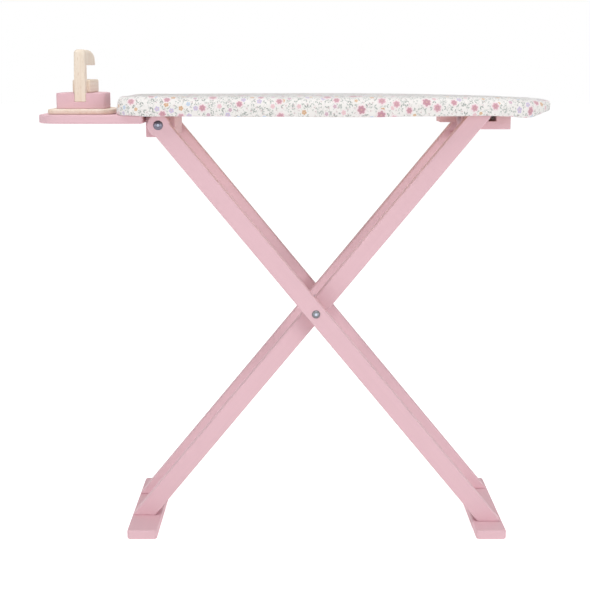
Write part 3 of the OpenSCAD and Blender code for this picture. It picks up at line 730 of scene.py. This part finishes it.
before = [(point.co.copy(), point.normal.copy()) for point in cover.data.vertices]
cloth = cover.modifiers.new("cloth", "CLOTH")
for name, value in clothValues.items():
    setattr(cloth.settings, name, value)
cloth.settings.effector_weights.gravity = 0
cloth.collision_settings.use_collision = False
for step in range(1, coverValues["frames"] + 1):
    scene.frame_set(step)
pickOnly(cover)
bpy.ops.object.modifier_apply(modifier="cloth")
scene.frame_set(1)
farthest = coverValues["moveCap"] * mm
moved = 0.0
for point, (was, normal) in zip(cover.data.vertices, before):
    step = point.co - was
    moved = max(moved, step.length)
    if step.length > farthest:
        step = step.normalized() * farthest
    sunk = -step.dot(normal) - coverValues["sinkCap"] * mm
    point.co = was + step + normal * max(0.0, sunk)
print("cover puffed, largest move", round(moved / mm, 2), "mm before the cap")

addModifier(cover, "SUBSURF", levels=1, render_levels=1)
addModifier(cover, "SOLIDIFY", thickness=coverValues["cloth"] * mm, offset=-1)
bpy.ops.object.shade_smooth()
cover.vertex_groups.clear()


# print of small rosettes, sprouts and berries on the flat cloth
printValues = {
    "ground": tint(240, 237, 234), "threads": 2200, "scatter": 0.8,
    "sage": (tint(167, 171, 166), tint(187, 190, 186), tint(156, 161, 156), tint(197, 200, 196)),
    "seed": (tint(176, 180, 174), tint(206, 186, 188), tint(166, 172, 166)),
    "rose": (tint(212, 162, 175), tint(218, 172, 184), tint(202, 152, 165)),
    "roseInner": tint(188, 132, 149), "heart": tint(212, 170, 166), "halo": tint(239, 224, 226),
    "small": (tint(220, 184, 146), tint(208, 176, 194), tint(190, 208, 230), tint(232, 198, 206),
              tint(214, 174, 138), tint(206, 194, 220)),
    "smallInner": tint(226, 204, 184), "thread": tint(222, 219, 214),
    "roses": ((0.31, 0.17, 0), 20,  # place, turn and sizes
              {"Density": 44, "Radius": 0.0050, "Lobes": 6, "Depth": 0.28, "Share": 0.52}),
    "buds": ((0.83, 0.42, 0), -35,
             {"Density": 72, "Radius": 0.0032, "Lobes": 5, "Depth": 0.3, "Share": 0.62}),
    "sprouts": (("sage", (0.146, 0.11, 0), 0,
                 {"Density": 92, "Leaf": 0.0024, "Breadth": 0.0010, "Spread": -0.55, "Share": 0.92}),
                ("sage", (0.122, 0.11, 0), 50,
                 {"Density": 125, "Leaf": 0.0018, "Breadth": 0.0008, "Spread": -0.7, "Share": 0.9}),
                ("seed", (0.094, 0.11, 0), 110,
                 {"Density": 190, "Leaf": 0.0011, "Breadth": 0.0006, "Spread": -0.5, "Share": 0.85})),
    "bloomSharp": 2500, "leafSharp": 3500, "lineSharp": 6000,  # how fast a print colour sets in at its rim
    "stemThin": 0.00022, "leafOut": 1.1, "anyTurn": 6.283,
    "rowIn": 5.2 * mm, "rowWide": 0.35 * mm, "stitches": 330, "stitchGap": 0.22,  # sewn row along the hem
    "gloss": 0.2, "sheen": 0.8, "bump": 0.35, "bumpDeep": 0.12 * mm,
}


def splitXyz(tree, vector):
    return addNode(tree, "SeparateXYZ", {0: vector}).outputs


def scatterCells(group, given):  # one motif to a cell: its own frame and three random numbers
    cells = addNode(group, "TexVoronoi", {"Randomness": printValues["scatter"], "Vector": given["Vector"],
                                          "Scale": given["Density"]}, voronoi_dimensions="2D").outputs
    away = addNode(group, "VectorMath", {0: given["Vector"], 1: cells["Position"]}, operation="SUBTRACT")
    chance = addNode(group, "SeparateColor", {"Color": cells["Color"]}).outputs
    kept = mathsIn(group)("LESS_THAN", chance["Green"], given["Share"])
    return away.outputs["Vector"], chance, kept


def makeBlossomGroup():
    group, given, made = newGroup(
        "rosetteScatter", ("Vector", "Density", "Radius", "Lobes", "Depth", "Share"),
        ("Bloom", "Inner", "Heart", "Clear", "Pick"))
    calc = mathsIn(group)
    away, chance, kept = scatterCells(group, given)
    reach = addNode(group, "VectorMath", {0: away}, operation="LENGTH").outputs["Value"]
    split = splitXyz(group, away)
    angle = calc("ARCTAN2", split["Y"], split["X"])
    lobes = calc("MULTIPLY", calc("MULTIPLY", angle, given["Lobes"]), 0.5)
    phase = calc("MULTIPLY", chance["Blue"], printValues["anyTurn"])
    size = calc("MULTIPLY", given["Radius"], calc("MULTIPLY_ADD", chance["Red"], 0.4, 0.8))
    rims = {"Heart": calc("MULTIPLY", size, 0.26), "Clear": calc("MULTIPLY", size, 1.3)}
    for label, share, turn in (("Bloom", 1.0, 0.0), ("Inner", 0.62, 1.57)):
        wave = calc("ABSOLUTE", calc("COSINE", calc("ADD", calc("ADD", lobes, phase), turn)))
        shape = calc("MULTIPLY_ADD", calc("SUBTRACT", wave, 1.0), given["Depth"], 1.0)
        rims[label] = calc("MULTIPLY", calc("MULTIPLY", shape, size), share)
    for label, rim in rims.items():
        mask = calc("MULTIPLY", calc("SUBTRACT", rim, reach), printValues["bloomSharp"], clamp=True)
        send(group, made, {label: calc("MULTIPLY", mask, kept)})
    send(group, made, {"Pick": chance["Red"]})
    return group


def makeSproutGroup():  # two leaves that spread from a short stem
    group, given, made = newGroup(
        "sproutScatter", ("Vector", "Density", "Leaf", "Breadth", "Spread", "Share"), ("Leaf", "Pick"))
    p = printValues
    calc = mathsIn(group)
    away, chance, kept = scatterCells(group, given)
    turn = calc("MULTIPLY", chance["Blue"], p["anyTurn"])
    spin = addNode(group, "VectorRotate", {"Vector": away, "Angle": turn}, rotation_type="Z_AXIS")
    split = splitXyz(group, spin.outputs[0])
    across = calc("ABSOLUTE", split["Y"])
    fold = addNode(group, "CombineXYZ", {0: split["X"], 1: across})
    lean = addNode(group, "VectorRotate", {"Vector": fold.outputs[0], "Angle": given["Spread"]},
                   rotation_type="Z_AXIS")
    leaf = splitXyz(group, lean.outputs[0])
    along = calc("SUBTRACT", calc("DIVIDE", leaf["X"], given["Leaf"]), p["leafOut"])
    belly = calc("SUBTRACT", 1.0, calc("MULTIPLY", along, along))
    rim = calc("SUBTRACT", calc("MULTIPLY", belly, given["Breadth"]), calc("ABSOLUTE", leaf["Y"]))
    leaves = calc("MULTIPLY", rim, p["leafSharp"], clamp=True)
    thin = calc("SUBTRACT", p["stemThin"], across)
    ends = calc("SUBTRACT", calc("MULTIPLY", given["Leaf"], p["leafOut"]),
                calc("ABSOLUTE", calc("ADD", split["X"], given["Leaf"])))
    stem = calc("MULTIPLY", calc("MINIMUM", thin, ends), p["lineSharp"], clamp=True)
    shown = calc("MULTIPLY", calc("MAXIMUM", leaves, stem), kept)
    send(group, made, {"Leaf": shown, "Pick": chance["Red"]})
    return group


def makeWeaveGroup():  # plain weave: warp and weft take turns on top
    group, given, made = newGroup("plainWeave", ("Vector", "Threads"), ("Height", "Shade"))
    calc = mathsIn(group)
    pitch = calc("MULTIPLY", given["Threads"], math.pi)
    scaled = addNode(group, "VectorMath", {0: given["Vector"], "Scale": pitch}, operation="SCALE")
    split = splitXyz(group, scaled.outputs[0])
    warp, weft = calc("SINE", split["X"]), calc("SINE", split["Y"])
    over = calc("MULTIPLY_ADD", calc("MULTIPLY", warp, weft), 0.5, 0.5)
    height = calc("ADD", calc("MULTIPLY", calc("ABSOLUTE", warp), over),
                  calc("MULTIPLY", calc("ABSOLUTE", weft), calc("SUBTRACT", 1.0, over)))
    slubs = noiseField(group, given["Vector"], (60, 900, 1), 2)
    send(group, made, {"Height": height, "Shade": calc("MULTIPLY_ADD", slubs, 0.06, 0.97)})
    return group


def picked(tree, chance, colours):  # a random one of a few print colours
    ramp = addNode(tree, "ValToRGB", {"Fac": chance})
    steps = ramp.color_ramp
    steps.interpolation = "CONSTANT"
    while len(steps.elements) < len(colours):
        steps.elements.new(0.5)
    for k, colour in enumerate(colours):
        steps.elements[k].position = k / len(colours)
        steps.elements[k].color = colour
    return ramp.outputs["Color"]


blossomGroup = makeBlossomGroup()
sproutGroup = makeSproutGroup()
weaveGroup = makeWeaveGroup()


def coverFinish():
    p = printValues
    finish, tree, shader = newFinish("printedCotton")
    calc = mathsIn(tree)
    flat = addNode(tree, "UVMap", {}, uv_map="cut").outputs[0]

    def scattered(group, place, turn, sizes):
        return useGroup(tree, group, mapped(tree, flat, place, (0, 0, turn)), **sizes)

    roses = scattered(blossomGroup, *p["roses"])
    buds = scattered(blossomGroup, *p["buds"])
    bare = calc("SUBTRACT", 1.0, calc("MAXIMUM", roses["Clear"], buds["Clear"]))
    colour = p["ground"]
    for colours, *row in p["sprouts"]:
        sprouts = scattered(sproutGroup, *row)
        shown = calc("MULTIPLY", sprouts["Leaf"], bare)
        colour = mixColour(tree, shown, colour, picked(tree, sprouts["Pick"], p[colours]))
    beside = calc("SUBTRACT", 1.0, roses["Clear"])
    for shown, over in ((calc("MULTIPLY", roses["Clear"], 0.7), p["halo"]),
                        (calc("MULTIPLY", buds["Bloom"], beside), picked(tree, buds["Pick"], p["small"])),
                        (calc("MULTIPLY", buds["Heart"], beside), p["smallInner"]),
                        (roses["Bloom"], picked(tree, roses["Pick"], p["rose"])),
                        (calc("MULTIPLY", roses["Inner"], 0.55), p["roseInner"]),
                        (roses["Heart"], p["heart"])):
        colour = mixColour(tree, shown, colour, over)
    weave = useGroup(tree, weaveGroup, flat, Threads=p["threads"])
    colour = mixColour(tree, 1.0, colour, weave["Shade"], "MULTIPLY")
    hem = splitXyz(tree, addNode(tree, "UVMap", {}, uv_map="seam").outputs[0])
    row = calc("ABSOLUTE", calc("SUBTRACT", hem["Y"], p["rowIn"]))
    line = calc("MULTIPLY", calc("SUBTRACT", p["rowWide"], row), p["lineSharp"], clamp=True)
    dash = calc("GREATER_THAN", calc("FRACT", calc("MULTIPLY", hem["X"], p["stitches"])), p["stitchGap"])
    stitch = calc("MULTIPLY", line, dash)
    height = calc("MULTIPLY_ADD", stitch, 2.0, weave["Height"])
    send(tree, shader, {"Sheen Weight": p["sheen"]})
    coat(tree, shader, p, mixColour(tree, stitch, colour, p["thread"]),
         calc("MULTIPLY_ADD", weave["Height"], -0.1, 0.92), height)
    return finish


dress(cover, coverFinish(), "board", "cover_cloth", "board_cover")
cutArea = abs(sum(a.x * b.y - b.x * a.y for a, b in zip(cutLine, cutLine[1:] + cutLine[:1]))) / 2
cutWide = max(p.y for p in cutLine) - min(p.y for p in cutLine)
cutLong = max(p.x for p in cutLine) - min(p.x for p in cutLine)
print("cover cut", round(cutWide, 4), round(cutLong, 4), "area", round(cutArea, 4))


# foam pad inside the cover
padValues = {"inset": 2.6, "under": 568.2, "start": 2.2, "tuck": 6, "fold": (8, 4, 0), "steps": 6,
             "light": tint(240, 234, 214), "dark": tint(214, 203, 174), "pore": 900, "gloss": 0.2,
             "bump": 0.4, "bumpDeep": 0.3 * mm}


def padSection(x, start, wide):
    v = padValues
    s = tipShare(x)
    high = coverValues["roundHigh"] - coverValues["tipDrop"] * s - start
    line = [Vector((v["inset"] + v["tuck"] * s + more, v["under"])) for more in v["fold"]]
    for k in range(1, v["steps"] + 1):
        t = math.pi / 2 * k / v["steps"]
        inset = v["inset"] + v["tuck"] * s * math.cos(t) + (wide - v["inset"]) * (1 - math.cos(t))
        line.append(Vector((inset, v["under"] + high * math.sin(t))))
    return line


def foamFinish():
    v = padValues
    finish, tree, shader = newFinish("creamFoam")
    calc = mathsIn(tree)
    pores = noiseField(tree, placed(tree), (v["pore"],) * 3, 2)
    deep = calc("MULTIPLY", calc("SUBTRACT", pores, 0.55), 6, clamp=True)
    coat(tree, shader, v, mixColour(tree, deep, v["light"], v["dark"]),
         calc("MULTIPLY_ADD", pores, 0.1, 0.88), calc("SUBTRACT", 1.0, deep))
    return finish


pad = loftCover("board_pad_foam", padSection, padValues["start"])[0]
edit(pad)
bpy.ops.mesh.select_mode(type="EDGE")
bpy.ops.mesh.select_all(action="DESELECT")
bpy.ops.mesh.select_non_manifold()
bpy.ops.mesh.fill()
bpy.ops.mesh.select_all(action="SELECT")
bpy.ops.mesh.normals_make_consistent(inside=False)
leaveEdit()
bpy.ops.object.shade_smooth_by_angle(angle=math.radians(shadeAngle))
dress(pad, foamFinish(), "board", "foam", "board_pad")
print("pad made")


# the iron: sole, body, handle and the block under the handle
soleValues = {"straight": 60 * mm, "bow": 2 * mm, "corner": 10 * mm, "tip": 5 * mm, "ease": 2.2 * mm,
              "easeSteps": 4, "spread": 0}
bodyValues = {"straight": 48.8 * mm, "bow": 4 * mm, "corner": 4 * mm, "tip": 4 * mm, "ease": 1.0 * mm,
              "easeSteps": 3, "spread": 0.9 * mm}
slabValues = {"sideSteps": 18, "turnSteps": 7, "bowSteps": 12, "endWide": 0.35 * mm}
ironAngle = 50


def arcPoints(x, y, radius, first, last, steps):
    angles = [first + (last - first) * k / steps for k in range(1, steps + 1)]
    return [(x + radius * math.cos(angle), y + radius * math.sin(angle)) for angle in angles]


def makeIronSlab(name, node, values):  # a block, drawn out to the tip and to the bowed back
    v = {**slabValues, **values}
    low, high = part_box(node)
    half = (high.x - low.x) / 2 + v["spread"]
    middleX, middleZ = (low.x + high.x) / 2, (low.z + high.z) / 2
    sideEnd, tipY = low.y + v["straight"], high.y - v["tip"]
    run = tipY - sideEnd  # the side arc touches the tip's circle, and the corner touches the bow
    sideR = (half ** 2 + run ** 2 - v["tip"] ** 2) / (2 * (half - v["tip"]))
    bowR = (half ** 2 + v["bow"] ** 2) / (2 * v["bow"])
    cornerX = half - v["corner"]
    cornerY = low.y + bowR - math.sqrt((bowR - v["corner"]) ** 2 - cornerX ** 2)
    meet = math.atan2(run, sideR - half)
    bend = math.atan2(cornerY - low.y - bowR, cornerX)
    ahead = arcPoints(half - sideR, sideEnd, sideR, 0, meet, v["sideSteps"])
    ahead += arcPoints(0, tipY, v["tip"], meet, math.pi / 2, v["turnSteps"])[:-1]
    ahead += [(v["endWide"], high.y)]
    behind = arcPoints(cornerX, cornerY, v["corner"], 0, bend, v["turnSteps"])
    behind += arcPoints(0, low.y + bowR, bowR, bend, -math.pi / 2, v["bowSteps"])[:-1]
    behind += [(v["endWide"], low.y)]
    slab = addSettled(name, (middleX - half, cornerY, low.z), (middleX + half, sideEnd, high.z))
    edit(slab)
    for way, at, points in ((1, sideEnd, ahead), (-1, cornerY, behind)):
        pickFaces(slab, lambda face: face.normal.y * way > 0.99)
        wide = half
        for x, y in points:
            drawOut((0, y - at, 0), (x / wide, 1, 1), (middleX, y, middleZ))
            wide, at = x, y
    mergeFlat(slab)
    return slab


sole = makeIronSlab("iron_sole_wood", "iron_sole", soleValues)
easeEdges(sole, soleValues["ease"], soleValues["easeSteps"], ironAngle)
dress(sole, woodAcross, "iron", "natural_wood", "iron_sole")

handleValues = {"post": 15 * mm, "bar": 20.1 * mm, "fall": 10.5 * mm, "fallLong": 44 * mm, "fallSteps": 11,
                "back": (6 * mm, 6), "long": (5 * mm, 5),  # radius and steps
                "ease": 1.2 * mm, "play": 0.1 * mm, "over": 5 * mm}
low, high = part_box("iron_handle")
postEnd, barLow = low.y + handleValues["post"], high.z - handleValues["bar"]
play, over = handleValues["play"], handleValues["over"]
ironBody = makeIronSlab("iron_body_wood", "iron_body", bodyValues)
cutAway(ironBody, addSettled("postNotch", (low.x - play, low.y - over, low.z),
                             (high.x + play, postEnd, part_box("iron_body")[1].z + over)))
easeEdges(ironBody, bodyValues["ease"], bodyValues["easeSteps"], ironAngle)
dress(ironBody, paintAcross, "iron", "pink_paint", "iron_body")

handle = addSettled("iron_handle_wood", (low.x, low.y, barLow), (high.x, postEnd, high.z))
edit(handle)
pickFaces(handle, lambda face: face.normal.y > 0.9)
at, tall = postEnd, handleValues["bar"]
for k in range(handleValues["fallSteps"] + 1):  # the bar's top falls off in a long quarter ellipse
    angle = math.pi / 2 * k / handleValues["fallSteps"]
    y = high.y - handleValues["fallLong"] * (1 - math.sin(angle))
    left = handleValues["bar"] - handleValues["fall"] * (1 - math.cos(angle))
    drawOut((0, y - at, 0), (1, 1, left / tall), (low.x, y, barLow))
    at, tall = y, left
pickFaces(handle, lambda face: face.normal.z < -0.9 and face.calc_center_median().y < postEnd)
drawOut((0, 0, low.z - barLow))
mergeFlat(handle)
roundEdges(handle, lambda a, b: min(a.z, b.z) > high.z - mm and max(a.y, b.y) < low.y + mm,
           *handleValues["back"])
fallEnd = high.z - handleValues["fall"] - weld
roundEdges(handle, lambda a, b: abs(a.x - b.x) < 1e-6 and min(a.z, b.z) > fallEnd, *handleValues["long"])
easeEdges(handle, handleValues["ease"], angle=ironAngle)
dress(handle, woodUpright, "iron", "natural_wood", "iron_handle")

baseValues = {"ease": 2.0 * mm}
base = addSettled("iron_handle_base_wood", *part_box("iron_handle_base"))
easeEdges(base, baseValues["ease"])
dress(base, woodAcross, "iron", "natural_wood", "iron_handle_base")
print("iron made")


# domed bolts with a hexagon socket
# highlight radius: how far round the socket the painted highlight spreads
boltValues = {"hinge": 6.2 * mm, "crossing": 5.4 * mm, "rise": 3.3 * mm, "rim": 0.5 * mm, "shank": 3.0 * mm,
              "socket": 4.0 * mm, "socketDeep": 1.0 * mm, "highlightReach": 1.5 * mm, "ease": 0.25 * mm,
              "easeSteps": 2, "easeAngle": 42, "domeSteps": 7, "domeShare": 0.8, "sides": 48}


def makeBolt(name, head, length):  # head at the origin, facing up, shank downwards
    v = boltValues
    bolt = addRound(v["sides"], head, v["rim"], (0, 0, v["rim"] / 2))
    bolt.name = bolt.data.name = name
    settle(bolt)
    edit(bolt)
    pickFaces(bolt, lambda face: face.normal.z > 0.9)
    dome = v["rise"] - v["rim"]
    ball = (head ** 2 + dome ** 2) / (2 * dome)
    start = math.asin(head / ball)
    wide, at = head, v["rim"]
    for k in range(1, v["domeSteps"] + 1):
        angle = start * (1 - v["domeShare"] * k / v["domeSteps"])
        r, z = ball * math.sin(angle), v["rise"] - ball * (1 - math.cos(angle))
        drawOut((0, 0, z - at), (r / wide, r / wide, 1), (0, 0, z))
        wide, at = r, z
    pickFaces(bolt, lambda face: face.normal.z < -0.9)
    bpy.ops.mesh.inset(thickness=head - v["shank"])
    drawOut((0, 0, -length))
    leaveEdit()
    drill(bolt, (0, 0, v["rise"]), (0, 0, 0), v["socket"] / math.sqrt(3), 2 * v["socketDeep"], 6)
    easeEdges(bolt, v["ease"], v["easeSteps"], v["easeAngle"])
    return bolt


def paintSocketHighlight(bolt, at):  # painted highlight: the socket and its rim get a lighter steel that stands for the bright reflection in the middle of each dome
    bolt.data.materials.append(paintedHighlightSteel)
    for face in bolt.data.polygons:
        if math.hypot(face.center.x - at.x, face.center.z - at.z) < boltValues["highlightReach"]:
            face.material_index = 1


for node, kind, at, finish, body, slot in (
        ("hinge_bolts", "hinge", hingeAt, darkSteel, "board", "dark_steel"),
        ("crossing_bolts", "crossing", crossAt, greySteel, "inner_frame", "bright_steel")):
    low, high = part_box(node)
    rise = boltValues["rise"]
    length = max(point.co.y for point in nodes[node].data.vertices if point.co.y < 0) - low.y - rise
    first = makeBolt(node + "_front", boltValues[kind], length)
    second = first.copy()
    second.data = first.data.copy()
    second.name = second.data.name = node + "_back"
    scene.collection.objects.link(second)
    for bolt, y, turn in ((first, low.y + rise, 90), (second, high.y - rise, -90)):
        bolt.rotation_euler = (math.radians(turn), 0, 0)
        bolt.location = (at.x, y, at.z)
        settle(bolt)
        dress(bolt, finish, body, slot, node)
        paintSocketHighlight(bolt, at)
print("bolts made")


# fasteners and panel that keep their CAD shape
plainPieces = ((plywood, ("board_panel",)), (brass, ("hinge_inserts",)), (woodUpright, ("iron_dowels",)),
               (woodAcross, ("hinge_spacers", "crossing_spacers")),
               (brightSteel, ("rest_screws", "hinge_block_screws", "catch_screws", "outer_foot_screws",
                              "inner_foot_screws", "crossing_nuts", "iron_sole_screws")))
for finish, names in plainPieces:
    for name in names:
        nodes[name].data.materials.clear()
        nodes[name].data.materials.append(finish)
